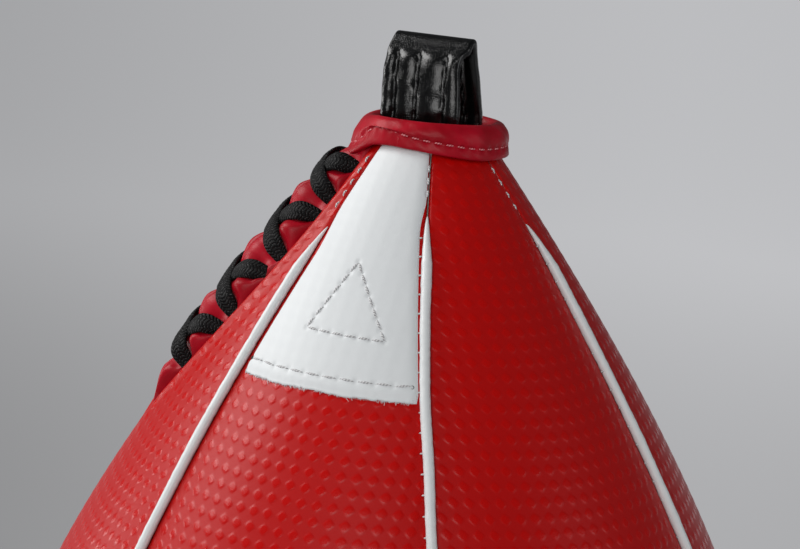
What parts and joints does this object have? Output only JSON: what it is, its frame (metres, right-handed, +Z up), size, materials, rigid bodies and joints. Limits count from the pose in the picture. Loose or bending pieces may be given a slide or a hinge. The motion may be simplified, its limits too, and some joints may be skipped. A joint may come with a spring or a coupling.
{
  "type": "punching ball",
  "caption": "Pear-shaped, laced and inflatable leather punching ball with piped seams, a bound collar and a padded strap loop to hang it by.",
  "frame": {"origin": "middle of the flat underside of the strap loop's crown, where the hook or swivel bears", "axes": "+Z up the hanging ball, +X along the width of the strap, -Y towards the front white crown patch"},
  "size_m": [0.1944, 0.1928, 0.2869],
  "materials": {
    "red_leather": "semi-gloss embossed synthetic leather",
    "white_leather": "semi-gloss synthetic leather",
    "crimson_leather": "satin fine-grained synthetic leather",
    "black_leather": "glossy embossed synthetic leather",
    "lace_braid": "flat braided polyester",
    "webbing": "woven cotton webbing",
    "lining_cloth": "plain woven cotton",
    "rubber": "matt butyl rubber"
  },
  "bodies": {
    "loop": {"loop_outer_ply": "black_leather", "loop_core": "webbing", "loop_inner_ply": "black_leather"},
    "ball": {"panel_front": "red_leather", "panel_front_right": "red_leather", "panel_rear_right": "red_leather", "panel_rear": "red_leather", "panel_rear_left": "red_leather", "panel_laced": "red_leather", "bottom_patch": "red_leather", "crown_patch_front": "white_leather", "crown_patch_rear": "white_leather", "piping_1": "white_leather", "piping_2": "white_leather", "piping_3": "white_leather", "piping_4": "white_leather", "piping_5": "white_leather", "piping_6": "white_leather", "collar_binding": "crimson_leather", "slit_roll_front": "crimson_leather", "slit_roll_rear": "crimson_leather", "tongue": "crimson_leather", "lace": "lace_braid", "loop_tail_front": "webbing", "loop_tail_rear": "webbing", "lining": "lining_cloth", "collar_cord": "lining_cloth", "bladder": "rubber", "valve": "rubber"}
  },
  "joints": [
    {"name": "strap_flex", "type": "hinge", "parent": "loop", "child": "ball", "pos_m": [0.0009, 0, -0.016], "axis": [1, 0, 0], "range_deg": [-25, 25]}
  ]
}
